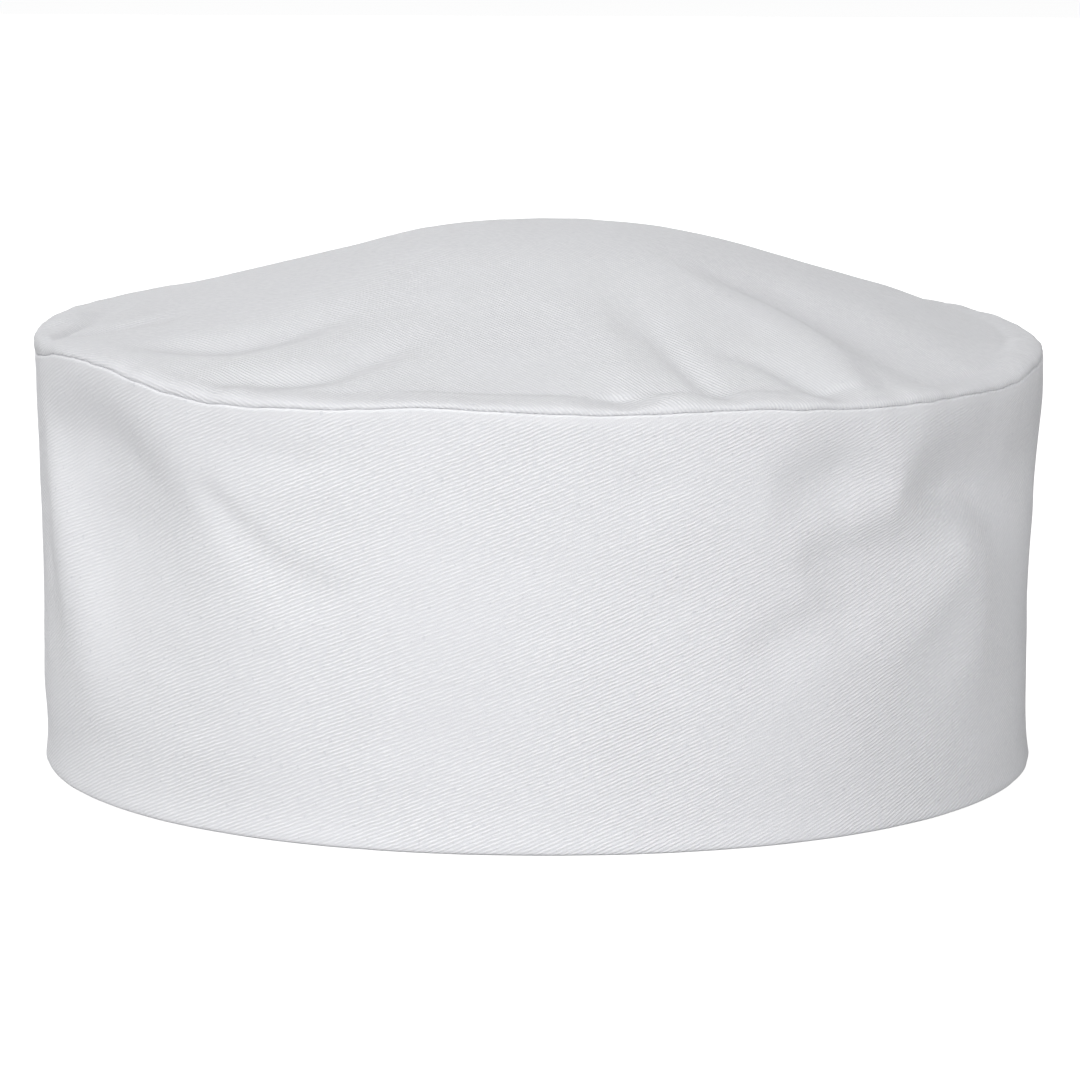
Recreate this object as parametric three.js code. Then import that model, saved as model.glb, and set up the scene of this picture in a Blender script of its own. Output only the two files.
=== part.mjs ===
import * as THREE from 'three';

// Chef skull cap in white cotton twill: an upright band of folded cloth round the head, closed by a round
// crown panel that tents up over its middle. It stands open side down, as it rests on a table.
// Millimetres, +Z up, the floor at z = 0. The front faces -Y, so left is -X and right is +X.
// An azimuth runs anticlockwise seen from above: 0 right, 90 back, 180 left, -90 front.

// Driving dimensions
const HEM_WIDTH = 191;
const HEM_DEPTH = 182;
const BAND_HEIGHT = 80;
const CROWN_RISE = 22.7;
const APEX_OFFSET = 2.5;
const BAND_WALL = 1.6;
const CROWN_WALL = 1.0;
const SEAM_ALLOWANCE = 9;
const RIM_PUFF = 4.2;

// Layers of cloth that lie against each other keep this much air between them.
const LAYER_GAP = 0.3;

// The share of the band's wall that its hem rests on, as a flat foot under the fold.
const HEM_FOOT = 0.5;

// The plan is a superellipse: 2 is an ellipse, and a little more fills out its corners.
const PLAN_POWER = 2.1;

// How sharply the crown's height follows the seam's own rise and fall: a power of the way out to the rim.
const RIM_FOLLOW = 12;

// Facets round the cap and over the band's rolled top edge, and where the rows of facets lie on the band's
// face, from hem to seam, and on the crown, from apex to rim.
const STEPS_ROUND = 90;
const STEPS_OVER_ROLL = 4;
const FACE_ROWS = [0.08, 0.18, 0.3, 0.42, 0.53, 0.63, 0.72, 0.8, 0.88, 0.94];
const BACK_ROWS = [0.63, 0.42, 0.18];
const CROWN_ROWS = [0.09, 0.18, 0.27, 0.36, 0.45, 0.55, 0.65, 0.75, 0.84, 0.92];

const TWILL = { color: 0xeef0f3, roughness: 0.92, metalness: 0 };

// The band's outer face against an upright wall on the hem, as shares of the band's height: out is positive.
const BAND_LEAN = [
  { up: 0.0, left: 0.006, front: 0, right: 0.005, back: 0 },
  { up: 0.07, left: 0.001, front: -0.003, right: -0.003, back: -0.003 },
  { up: 0.2, left: 0.006, front: 0.001, right: -0.006, back: 0.001 },
  { up: 0.4, left: 0.007, front: 0.005, right: -0.006, back: 0.004 },
  { up: 0.65, left: 0.009, front: 0.007, right: 0.003, back: 0.007 },
  { up: 0.85, left: 0.015, front: 0.01, right: 0.018, back: 0.01 },
  { up: 1.0, left: 0.018, front: 0.012, right: 0.021, back: 0.012 },
];

// The crown seam round the cap: its height as a share of the band's, and how much of the rim's full puff
// the crown has there. The seam is pulled up at the front left corner and sags towards the right.
const SEAM_ROUND = [
  { azimuth: -180, height: 0.99, puff: 1.0 },
  { azimuth: -169, height: 0.996, puff: 0.95 },
  { azimuth: -157, height: 1.03, puff: 0.35 },
  { azimuth: -146, height: 1.033, puff: 0.25 },
  { azimuth: -129, height: 0.991, puff: 0.45 },
  { azimuth: -112, height: 0.996, puff: 0.2 },
  { azimuth: -101, height: 1.01, puff: 0.05 },
  { azimuth: -83, height: 0.996, puff: 0.2 },
  { azimuth: -70, height: 1.0, puff: 0.12 },
  { azimuth: -54, height: 0.983, puff: 0.2 },
  { azimuth: -38, height: 0.978, puff: 0.2 },
  { azimuth: -26, height: 0.972, puff: 0.22 },
  { azimuth: -14, height: 0.988, puff: 0.3 },
  { azimuth: 5, height: 0.99, puff: 0.3 },
  { azimuth: 45, height: 0.99, puff: 0.4 },
  { azimuth: 90, height: 1.0, puff: 0.3 },
  { azimuth: 140, height: 0.995, puff: 0.6 },
];

// The crown's height from the apex, out = 0, to near the rim, out = 1, as shares of its rise.
const CROWN_SECTIONS = [
  { out: 0.0, left: 1.0, front: 1.0, right: 1.0, back: 1.0 },
  { out: 0.05, left: 1.0, front: 0.999, right: 0.998, back: 0.999 },
  { out: 0.15, left: 0.985, front: 0.978, right: 0.973, back: 0.98 },
  { out: 0.3, left: 0.89, front: 0.88, right: 0.873, back: 0.88 },
  { out: 0.45, left: 0.705, front: 0.705, right: 0.712, back: 0.71 },
  { out: 0.6, left: 0.53, front: 0.505, right: 0.515, back: 0.522 },
  { out: 0.74, left: 0.373, front: 0.325, right: 0.328, back: 0.353 },
  { out: 0.86, left: 0.262, front: 0.175, right: 0.155, back: 0.215 },
  { out: 0.92, left: 0.22, front: 0.1, right: 0.085, back: 0.145 },
];

// The crown's rim, from its shoulder down to where it meets the band's roll. Where the rim is fully puffed it
// bulges out over the roll, and where it is flat it turns straight in from its stitches. The inward places
// and the flat heights are shares of the roll's width, the puffed heights are shares of the puff.
const RIM_SECTION = [
  { puffedInward: 0.75, puffedUp: 1.0, flatInward: 1.85, flatUp: 0.42, fold: 1.0 },
  { puffedInward: 0.12, puffedUp: 0.82, flatInward: 1.52, flatUp: 0.28, fold: 0.6 },
  { puffedInward: -0.04, puffedUp: 0.5, flatInward: 1.28, flatUp: 0.1, fold: 0.2 },
  { puffedInward: 0.1, puffedUp: 0.2, flatInward: 1.13, flatUp: -0.1, fold: 0.0 },
];

// Soft folds on the band's face, each along a line from one place to another. Widths and depths are shares
// of the band's height, out is positive.
const BAND_FOLDS = [
  { from: { azimuth: -157, up: 0.93 }, to: { azimuth: -129, up: 0.73 }, width: 0.075, depth: -0.024 },
  { from: { azimuth: -143, up: 0.84 }, to: { azimuth: -136, up: 0.56 }, width: 0.11, depth: -0.016 },
  { from: { azimuth: -166, up: 0.84 }, to: { azimuth: -143, up: 0.6 }, width: 0.075, depth: 0.014 },
  { from: { azimuth: -160, up: 0.4 }, to: { azimuth: -166, up: 0.2 }, width: 0.17, depth: -0.014 },
  { from: { azimuth: -45, up: 0.84 }, to: { azimuth: -19, up: 0.85 }, width: 0.06, depth: -0.024 },
  { from: { azimuth: -37, up: 0.7 }, to: { azimuth: -31, up: 0.71 }, width: 0.06, depth: 0.012 },
  { from: { azimuth: -58, up: 0.7 }, to: { azimuth: -47, up: 0.74 }, width: 0.06, depth: -0.01 },
  { from: { azimuth: -53, up: 0.46 }, to: { azimuth: -41, up: 0.62 }, width: 0.07, depth: 0.013 },
  { from: { azimuth: -64, up: 0.55 }, to: { azimuth: -58, up: 0.56 }, width: 0.06, depth: -0.008 },
  { from: { azimuth: -17, up: 0.72 }, to: { azimuth: -24, up: 0.22 }, width: 0.07, depth: -0.012 },
  { from: { azimuth: 35, up: 0.82 }, to: { azimuth: 52, up: 0.6 }, width: 0.1, depth: -0.014 },
  { from: { azimuth: 140, up: 0.86 }, to: { azimuth: 124, up: 0.62 }, width: 0.1, depth: -0.014 },
];

// Soft folds on the crown. Widths and depths are shares of half the hem's width, up is positive.
const CROWN_FOLDS = [
  { from: { azimuth: -163, out: 0.97 }, to: { azimuth: -163, out: 0.68 }, width: 0.035, depth: -0.014 },
  { from: { azimuth: -166, out: 0.97 }, to: { azimuth: -179, out: 0.88 }, width: 0.03, depth: -0.012 },
  { from: { azimuth: -142, out: 0.9 }, to: { azimuth: -129, out: 0.64 }, width: 0.055, depth: -0.017 },
  { from: { azimuth: -130, out: 0.92 }, to: { azimuth: -118, out: 0.74 }, width: 0.05, depth: 0.009 },
  { from: { azimuth: -119, out: 0.93 }, to: { azimuth: -109, out: 0.77 }, width: 0.05, depth: -0.014 },
  { from: { azimuth: -51, out: 0.42 }, to: { azimuth: -53, out: 0.93 }, width: 0.055, depth: 0.014 },
  { from: { azimuth: -37, out: 0.5 }, to: { azimuth: -36, out: 0.9 }, width: 0.12, depth: -0.016 },
  { from: { azimuth: -46, out: 0.8 }, to: { azimuth: -48, out: 0.98 }, width: 0.035, depth: -0.01 },
  { from: { azimuth: -77, out: 0.62 }, to: { azimuth: -71, out: 0.98 }, width: 0.035, depth: -0.013 },
  { from: { azimuth: -65, out: 0.78 }, to: { azimuth: -58, out: 0.98 }, width: 0.035, depth: -0.013 },
  { from: { azimuth: -13, out: 0.84 }, to: { azimuth: -2, out: 0.96 }, width: 0.035, depth: -0.01 },
  { from: { azimuth: 48, out: 0.6 }, to: { azimuth: 44, out: 0.95 }, width: 0.06, depth: -0.016 },
  { from: { azimuth: 128, out: 0.62 }, to: { azimuth: 133, out: 0.95 }, width: 0.06, depth: -0.016 },
];

const HALF_WIDTH = HEM_WIDTH / 2;
const HALF_DEPTH = HEM_DEPTH / 2;
const PER_DEGREE = (Math.PI * (HALF_WIDTH + HALF_DEPTH)) / 360;

// The band's top edge turns over in half a circle, and its raw edges hang inside.
const ROLL_RADIUS = BAND_WALL + LAYER_GAP / 2;
const ROLL_WIDTH = 2 * ROLL_RADIUS;

// A smooth curve through the rows of a table, flat beyond its ends.
function curveThrough(rows, key, column, at) {
  const last = rows.length - 1;
  if (at <= rows[0][key]) return rows[0][column];
  if (at >= rows[last][key]) return rows[last][column];
  const index = rows.findIndex((row) => row[key] > at) - 1;
  const slopeAt = (i) => {
    const before = rows[Math.max(i - 1, 0)];
    const after = rows[Math.min(i + 1, last)];
    return (after[column] - before[column]) / (after[key] - before[key]);
  };
  const start = rows[index];
  const end = rows[index + 1];
  const span = end[key] - start[key];
  const t = (at - start[key]) / span;
  const rising = t * t * (3 - 2 * t);
  return (
    start[column] * (1 - rising) +
    end[column] * rising +
    span * t * (1 - t) * ((1 - t) * slopeAt(index) - t * slopeAt(index + 1))
  );
}

// The same for a table that runs round the cap and meets itself again after a full turn.
function curveRound(rows, column, azimuth) {
  const turned = [
    ...rows.slice(-2).map((row) => ({ ...row, azimuth: row.azimuth - 360 })),
    ...rows,
    ...rows.slice(0, 2).map((row) => ({ ...row, azimuth: row.azimuth + 360 })),
  ];
  return curveThrough(turned, 'azimuth', column, azimuth);
}

// A table with a column for each side of the cap, blended between the sides.
function curveOfSides(rows, key, at, azimuth) {
  const angle = THREE.MathUtils.degToRad(azimuth);
  const across = Math.cos(angle);
  const along = Math.sin(angle);
  const side = curveThrough(rows, key, across < 0 ? 'left' : 'right', at);
  const end = curveThrough(rows, key, along < 0 ? 'front' : 'back', at);
  return side * across * across + end * along * along;
}

// A point of the plan outline, with its half width and half depth.
function planPoint(azimuth, halfWidth, halfDepth) {
  const angle = THREE.MathUtils.degToRad(azimuth);
  const fill = (value) => Math.sign(value) * Math.abs(value) ** (2 / PLAN_POWER);
  return new THREE.Vector2(halfWidth * fill(Math.cos(angle)), halfDepth * fill(Math.sin(angle)));
}

// The sum of the folds at a place. A fold is a soft ridge or valley that fades to its sides and its ends.
function foldHeight(folds, place, placeOf, unit) {
  let height = 0;
  for (const fold of folds) {
    const start = placeOf(fold.from, place);
    const along = placeOf(fold.to, place).sub(start);
    const offset = place.clone().sub(start);
    const share = THREE.MathUtils.clamp(offset.dot(along) / along.lengthSq(), 0, 1);
    const away = offset.addScaledVector(along, -share).length() / (fold.width * unit);
    height += fold.depth * unit * Math.exp(-away * away);
  }
  return height;
}

function bandFoldHeight(azimuth, height) {
  const placeOf = (spot, near) => {
    const turns = Math.round((spot.azimuth * PER_DEGREE - near.x) / (360 * PER_DEGREE));
    return new THREE.Vector2((spot.azimuth - 360 * turns) * PER_DEGREE, spot.up * BAND_HEIGHT);
  };
  return foldHeight(BAND_FOLDS, new THREE.Vector2(azimuth * PER_DEGREE, height), placeOf, BAND_HEIGHT);
}

function crownFoldHeight(place) {
  const placeOf = (spot) => planPoint(spot.azimuth, spot.out * HALF_WIDTH, spot.out * HALF_DEPTH);
  return foldHeight(CROWN_FOLDS, place, placeOf, HALF_WIDTH);
}

function seamHeight(azimuth) {
  return BAND_HEIGHT * curveRound(SEAM_ROUND, 'height', azimuth);
}

// How far the band's face stands out of the hem's outline at a height.
function bandOut(azimuth, height) {
  const up = THREE.MathUtils.clamp(height / seamHeight(azimuth), 0, 1);
  return BAND_HEIGHT * curveOfSides(BAND_LEAN, 'up', up, azimuth) + bandFoldHeight(azimuth, height);
}

// How far below the seam the rows of both pieces' hanging edges lie, from the roll's middle to the raw edge.
function allowanceDrops() {
  return [ROLL_RADIUS, (ROLL_RADIUS + SEAM_ALLOWANCE) / 2, SEAM_ALLOWANCE];
}

// A point of a piece that follows the band's face, set in from it.
function bandPoint(azimuth, inward, height) {
  const out = bandOut(azimuth, height) - inward;
  const plan = planPoint(azimuth, HALF_WIDTH + out, HALF_DEPTH + out);
  return new THREE.Vector3(plan.x, plan.y, height);
}

// The band's section as [inward, height] pairs, from the hem up the outer face, over the roll, round the
// raw edges inside and down the inner face. The hem is a fold with a narrow flat foot.
function bandSection(azimuth) {
  const top = seamHeight(azimuth);
  const footStart = (BAND_WALL * (1 - HEM_FOOT)) / 2;
  const section = [
    [footStart, 0],
    [0, BAND_WALL / 2],
  ];
  for (const share of FACE_ROWS) section.push([0, share * top]);
  const addArc = (radius, startAngle, endAngle, steps) => {
    for (let step = 0; step <= steps; step += 1) {
      const angle = startAngle + ((endAngle - startAngle) * step) / steps;
      section.push([ROLL_RADIUS - radius * Math.cos(angle), top - ROLL_RADIUS + radius * Math.sin(angle)]);
    }
  };
  addArc(ROLL_RADIUS, 0, Math.PI, STEPS_OVER_ROLL);
  for (const drop of allowanceDrops().slice(1)) section.push([ROLL_WIDTH, top - drop]);
  section.push([ROLL_WIDTH - BAND_WALL, top - SEAM_ALLOWANCE]);
  addArc(LAYER_GAP / 2, Math.PI, 0, 1);
  section.push([BAND_WALL, top - SEAM_ALLOWANCE]);
  for (const share of BACK_ROWS) section.push([BAND_WALL, share * top]);
  section.push([BAND_WALL, BAND_WALL / 2]);
  section.push([BAND_WALL - footStart, 0]);
  return section;
}

// The crown's outer skin as points from near the apex to the raw edge that hangs inside the band.
function crownSkin(azimuth) {
  const seam = seamHeight(azimuth);
  const rim = bandPoint(azimuth, 0, seam);
  const skin = [];
  for (const out of CROWN_ROWS) {
    const plan = new THREE.Vector2(rim.x * out, rim.y * out);
    const rise = CROWN_RISE * curveOfSides(CROWN_SECTIONS, 'out', out, azimuth);
    const height = BAND_HEIGHT + rise + (seam - BAND_HEIGHT) * out ** RIM_FOLLOW + crownFoldHeight(plan);
    plan.x += APEX_OFFSET * (1 - out * out);
    skin.push(new THREE.Vector3(plan.x, plan.y, height));
  }
  const puff = curveRound(SEAM_ROUND, 'puff', azimuth);
  const mix = (flat, puffed) => THREE.MathUtils.lerp(flat, puffed, puff);
  const rimFold = crownFoldHeight(new THREE.Vector2(rim.x, rim.y));
  const addRimPoint = (inward, up) => {
    skin.push(bandPoint(azimuth, inward, seam + Math.min(up, 0)).setZ(seam + up));
  };
  for (const row of RIM_SECTION) {
    const up = mix(ROLL_WIDTH * row.flatUp, LAYER_GAP + RIM_PUFF * row.puffedUp);
    addRimPoint(ROLL_WIDTH * mix(row.flatInward, row.puffedInward), up + rimFold * row.fold);
  }
  const clear = ROLL_RADIUS + LAYER_GAP;
  for (const turn of [0.5, 0.25]) {
    const angle = turn * Math.PI;
    const overRoll = { inward: ROLL_RADIUS + clear * Math.cos(angle), up: clear * Math.sin(angle) - ROLL_RADIUS };
    addRimPoint(mix(ROLL_RADIUS + clear, overRoll.inward), mix(-ROLL_RADIUS * (1 - turn), overRoll.up));
  }
  for (const drop of allowanceDrops()) addRimPoint(ROLL_RADIUS + clear, -drop);
  return skin;
}

// The same skin set in by the wall, square to its section and towards the inside of the cap.
function innerSkin(skin) {
  const flatRadius = (point) => Math.hypot(point.x, point.y);
  return skin.map((point, index) => {
    const before = skin[Math.max(index - 1, 0)];
    const after = skin[Math.min(index + 1, skin.length - 1)];
    const run = flatRadius(after) - flatRadius(before);
    const fall = after.z - before.z;
    const length = Math.hypot(run, fall);
    const radius = flatRadius(point);
    const inwardRun = (fall / length) * CROWN_WALL;
    const shrink = 1 + inwardRun / radius;
    return new THREE.Vector3(point.x * shrink, point.y * shrink, point.z - (run / length) * CROWN_WALL);
  });
}

// Closed rings of points, one section for each azimuth, joined into a mesh. Sections run with the solid
// on their right hand as the azimuth grows, and poles close the first and last rows where they are given.
// Facets of the band and of the crown are split along matching diagonals, so facing skins stay parallel.
function meshOfSections(sections, poles) {
  const rows = sections[0].length;
  const steps = sections.length;
  const positions = sections.flat().flatMap((point) => [point.x, point.y, point.z]);
  const indices = [];
  const at = (step, row) => (step % steps) * rows + (row % rows);
  const lastRow = poles ? rows - 1 : rows;
  for (let step = 0; step < steps; step += 1) {
    for (let row = 0; row < lastRow; row += 1) {
      const near = [at(step, row), at(step, row + 1)];
      const far = [at(step + 1, row), at(step + 1, row + 1)];
      if (poles) {
        indices.push(near[0], far[0], near[1]);
        indices.push(far[0], far[1], near[1]);
      } else {
        indices.push(near[0], far[0], far[1]);
        indices.push(near[0], far[1], near[1]);
      }
    }
  }
  if (poles) {
    const first = steps * rows;
    for (const pole of poles) positions.push(pole.x, pole.y, pole.z);
    for (let step = 0; step < steps; step += 1) {
      indices.push(first, at(step + 1, 0), at(step, 0));
      indices.push(first + 1, at(step, rows - 1), at(step + 1, rows - 1));
    }
  }
  const geometry = new THREE.BufferGeometry();
  geometry.setAttribute('position', new THREE.Float32BufferAttribute(positions, 3));
  geometry.setIndex(indices);
  geometry.computeVertexNormals();
  return geometry;
}

function azimuthsRound() {
  return Array.from({ length: STEPS_ROUND }, (_, step) => -180 + (360 * step) / STEPS_ROUND);
}

// The band: a strip of twill folded double, its ends joined at the back, its top edge rolled in.
function makeSideBand() {
  const sections = azimuthsRound().map((azimuth) =>
    bandSection(azimuth).map(([inward, height]) => bandPoint(azimuth, inward, height)),
  );
  const mesh = new THREE.Mesh(meshOfSections(sections, null), new THREE.MeshStandardMaterial(TWILL));
  mesh.name = 'side_band';
  return mesh;
}

// The crown: one layer of twill, its edge turned down inside the band's raw edges.
function makeCrown() {
  const sections = azimuthsRound().map((azimuth) => {
    const outer = crownSkin(azimuth);
    return [...outer, ...innerSkin(outer).reverse()].reverse();
  });
  const apex = new THREE.Vector3(APEX_OFFSET, 0, BAND_HEIGHT + CROWN_RISE);
  const poles = [apex.clone().setZ(apex.z - CROWN_WALL), apex];
  const mesh = new THREE.Mesh(meshOfSections(sections, poles), new THREE.MeshStandardMaterial(TWILL));
  mesh.name = 'crown';
  return mesh;
}

const cap = new THREE.Group();
cap.add(makeSideBand(), makeCrown());

export default cap;
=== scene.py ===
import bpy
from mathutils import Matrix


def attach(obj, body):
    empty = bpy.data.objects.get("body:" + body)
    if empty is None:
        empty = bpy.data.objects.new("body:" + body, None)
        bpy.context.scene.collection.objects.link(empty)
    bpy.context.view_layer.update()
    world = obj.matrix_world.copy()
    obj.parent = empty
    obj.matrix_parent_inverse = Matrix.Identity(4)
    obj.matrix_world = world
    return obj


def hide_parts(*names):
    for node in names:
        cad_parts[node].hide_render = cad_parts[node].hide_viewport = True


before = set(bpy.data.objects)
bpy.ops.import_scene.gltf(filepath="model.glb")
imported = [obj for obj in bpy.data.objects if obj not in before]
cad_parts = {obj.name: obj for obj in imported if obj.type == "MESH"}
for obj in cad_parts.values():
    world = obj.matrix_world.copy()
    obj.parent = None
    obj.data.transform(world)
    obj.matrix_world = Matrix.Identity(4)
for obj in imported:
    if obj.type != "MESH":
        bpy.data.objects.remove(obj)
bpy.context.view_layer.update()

import math

import bpy
import numpy as np
from mathutils import Quaternion, Vector

# Side band. The real piece is a long strip of white cotton twill, folded double along the hem, with its ends
# joined at the back. Its top edge turns in over the crown seam, and both raw edges hang down inside.
# Metres, +Z up. The front faces -Y. An azimuth runs anticlockwise seen from above, and -90 is the front.
HEM_WIDTH = 0.191
HEM_DEPTH = 0.182
BAND_HEIGHT = 0.080
BAND_WALL = 0.0016
PLY = 0.0004
PRESSED_GAP = 0.00005
SEAM_ALLOWANCE = 0.009
ALLOWANCE_SPREAD = 0.0017
PLAN_POWER = 2.1
BACK_SEAM = 90.0

BAND_COLUMNS = 400
FACE_ROWS = 66
LINING_ROWS = 20
ROLL_ROWS = 13
HEM_ROWS = 8
HANGING_ROWS = 4
INNER_ROLL_ROWS = 5

HALF_WIDTH = HEM_WIDTH / 2
HALF_DEPTH = HEM_DEPTH / 2
PER_DEGREE = math.pi * (HALF_WIDTH + HALF_DEPTH) / 360

# At the seam the two plies are pressed together, and they turn over as one tight roll.
SEAM_WALL = 2 * PLY + PRESSED_GAP
ROLL_RADIUS = SEAM_WALL + PRESSED_GAP
ROLL_WIDTH = 2 * ROLL_RADIUS
ROLL_POWER = 4.5
PRESSED_DEPTH = 0.010


def table(columns, *rows):
    """A table with named columns and a row for each place."""
    return np.array(list(rows), dtype=[(name, float) for name in columns.split()])


# The band's face against an upright wall on the hem, as shares of the band's height: out is positive.
BAND_LEAN = table(
    "up left front right back",
    (0.0, 0.006, 0, 0.005, 0),
    (0.07, 0.001, -0.003, -0.003, -0.003),
    (0.2, 0.006, 0.001, -0.006, 0.001),
    (0.4, 0.007, 0.005, -0.006, 0.004),
    (0.65, 0.009, 0.007, 0.003, 0.007),
    (0.85, 0.015, 0.01, 0.018, 0.01),
    (1.0, 0.018, 0.012, 0.021, 0.012),
)

# The crown seam round the cap: its height as a share of the band's, and how far the crown puffs out over it.
SEAM_ROUND = table(
    "azimuth height puff",
    (-180, 0.99, 1.0),
    (-169, 0.996, 0.95),
    (-157, 1.03, 0.35),
    (-146, 1.033, 0.25),
    (-129, 0.991, 0.45),
    (-112, 0.996, 0.2),
    (-101, 1.01, 0.05),
    (-94, 1.004, 0.1),
    (-88, 0.999, 0.25),
    (-81.5, 0.996, 0.03),
    (-76, 0.998, 0.35),
    (-70, 1.0, 0.12),
    (-63, 0.993, 0.28),
    (-54, 0.983, 0.12),
    (-44, 0.979, 0.35),
    (-36, 0.977, 0.18),
    (-26, 0.972, 0.22),
    (-14, 0.988, 0.3),
    (5, 0.99, 0.3),
    (45, 0.99, 0.4),
    (90, 1.0, 0.3),
    (140, 0.995, 0.6),
)

# Soft folds on the band's face. Each row is a place on the fold's line, with how far the fold reaches to the
# line's left and right hand, seen from outside. All but azimuth are shares of the band's height, and out is
# positive.
BAND_FOLD = "azimuth up left right depth"
BAND_FOLDS = {
    "corner valley": table(
        BAND_FOLD,
        (-163, 0.83, 0.07, 0.08, 0),
        (-157, 0.845, 0.09, 0.12, -0.02),
        (-150, 0.855, 0.1, 0.16, -0.034),
        (-145, 0.84, 0.1, 0.18, -0.04),
        (-140.5, 0.8, 0.1, 0.18, -0.036),
        (-136.5, 0.75, 0.09, 0.16, -0.024),
        (-132, 0.69, 0.08, 0.12, -0.01),
        (-128, 0.64, 0.08, 0.1, 0),
    ),
    "hollow below the corner valley": table(
        BAND_FOLD,
        (-153, 0.7, 0.1, 0.15, 0),
        (-149, 0.67, 0.14, 0.2, -0.024),
        (-145, 0.63, 0.16, 0.26, -0.042),
        (-139, 0.59, 0.16, 0.26, -0.036),
        (-132, 0.56, 0.13, 0.22, -0.014),
        (-126, 0.54, 0.12, 0.18, 0),
    ),
    "corner swell": table(
        BAND_FOLD,
        (-164, 0.86, 0.07, 0.08, 0),
        (-160, 0.76, 0.08, 0.09, 0.014),
        (-156, 0.62, 0.08, 0.1, 0.024),
        (-152.5, 0.46, 0.09, 0.12, 0.026),
        (-150, 0.3, 0.11, 0.13, 0.018),
        (-148, 0.14, 0.13, 0.14, 0),
    ),
    "thin crease": table(
        BAND_FOLD,
        (-129, 0.82, 0.02, 0.04, 0),
        (-127, 0.785, 0.025, 0.045, -0.006),
        (-124, 0.74, 0.025, 0.05, -0.008),
        (-120, 0.67, 0.03, 0.055, -0.0065),
        (-114.5, 0.6, 0.04, 0.07, -0.0065),
        (-108, 0.55, 0.05, 0.08, 0),
    ),
    "right dent": table(
        BAND_FOLD,
        (-48, 0.79, 0.08, 0.06, 0),
        (-45.5, 0.775, 0.11, 0.07, -0.018),
        (-42, 0.765, 0.13, 0.07, -0.044),
        (-37, 0.755, 0.145, 0.075, -0.068),
        (-31, 0.745, 0.155, 0.09, -0.07),
        (-23, 0.74, 0.15, 0.11, -0.046),
        (-12, 0.77, 0.12, 0.12, -0.02),
        (-3, 0.79, 0.1, 0.1, 0),
    ),
    "swell at the dent's end": table(
        BAND_FOLD,
        (-54, 0.94, 0.05, 0.05, 0),
        (-51.5, 0.85, 0.05, 0.05, 0.008),
        (-51, 0.77, 0.05, 0.05, 0),
    ),
    "pull under the right seam": table(
        BAND_FOLD,
        (-66, 0.8, 0.06, 0.08, 0),
        (-61.5, 0.81, 0.08, 0.09, -0.022),
        (-57, 0.82, 0.085, 0.09, -0.033),
        (-52, 0.83, 0.075, 0.08, -0.022),
        (-48.5, 0.84, 0.06, 0.07, 0),
    ),
    "upper right pull": table(
        BAND_FOLD,
        (-62, 0.61, 0.045, 0.08, -0.002),
        (-59.5, 0.63, 0.06, 0.1, -0.018),
        (-56, 0.64, 0.075, 0.12, -0.027),
        (-51, 0.645, 0.075, 0.12, -0.028),
        (-45, 0.64, 0.07, 0.12, -0.022),
        (-40, 0.63, 0.06, 0.1, -0.012),
        (-36, 0.62, 0.05, 0.08, 0),
    ),
    "lower right pull": table(
        BAND_FOLD,
        (-69, 0.43, 0.045, 0.08, 0),
        (-65.5, 0.46, 0.05, 0.08, -0.009),
        (-61, 0.5, 0.05, 0.08, -0.011),
        (-56, 0.51, 0.05, 0.08, -0.008),
        (-51, 0.5, 0.045, 0.07, 0),
    ),
    "right swell": table(
        BAND_FOLD,
        (-52, 0.36, 0.1, 0.08, 0),
        (-48.5, 0.41, 0.1, 0.075, 0.008),
        (-44, 0.48, 0.1, 0.075, 0.013),
        (-40.5, 0.54, 0.1, 0.07, 0.014),
        (-37.5, 0.6, 0.09, 0.07, 0.008),
        (-36, 0.65, 0.08, 0.06, 0),
    ),
    "upright swell at the right": table(
        BAND_FOLD,
        (-35.5, 0.76, 0.07, 0.08, 0),
        (-34, 0.67, 0.08, 0.1, 0.012),
        (-33, 0.52, 0.09, 0.12, 0.014),
        (-33, 0.34, 0.1, 0.12, 0.012),
        (-34, 0.18, 0.11, 0.12, 0),
    ),
    "left pull under the seam": table(
        BAND_FOLD,
        (-125, 0.87, 0.03, 0.05, 0),
        (-116, 0.885, 0.03, 0.05, -0.0035),
        (-106, 0.895, 0.03, 0.05, 0),
    ),
    "middle pull": table(
        BAND_FOLD,
        (-85, 0.81, 0.04, 0.06, 0),
        (-80.5, 0.835, 0.04, 0.06, -0.0045),
        (-76, 0.86, 0.04, 0.06, 0),
    ),
    "right hollow at the back": table(
        BAND_FOLD,
        (35, 0.82, 0.08, 0.12, -0.012),
        (44, 0.71, 0.09, 0.14, -0.025),
        (54, 0.58, 0.1, 0.15, -0.01),
    ),
    "left hollow at the back": table(
        BAND_FOLD,
        (142, 0.88, 0.14, 0.1, -0.01),
        (132, 0.74, 0.15, 0.1, -0.028),
        (122, 0.6, 0.15, 0.1, -0.012),
    ),
}


def curve_through(places, values, at):
    """A smooth curve through values at those places, flat beyond its ends."""
    slopes = np.gradient(values)
    slopes[1:-1] = (values[2:] - values[:-2]) / (places[2:] - places[:-2])
    slopes[0] = (values[1] - values[0]) / (places[1] - places[0])
    slopes[-1] = (values[-1] - values[-2]) / (places[-1] - places[-2])
    at = np.clip(at, places[0], places[-1])
    index = np.clip(np.searchsorted(places, at, side="right") - 1, 0, len(places) - 2)
    span = places[index + 1] - places[index]
    t = (at - places[index]) / span
    rising = t * t * (3 - 2 * t)
    bend = (1 - t) * slopes[index] - t * slopes[index + 1]
    return values[index] * (1 - rising) + values[index + 1] * rising + span * t * (1 - t) * bend


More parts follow.
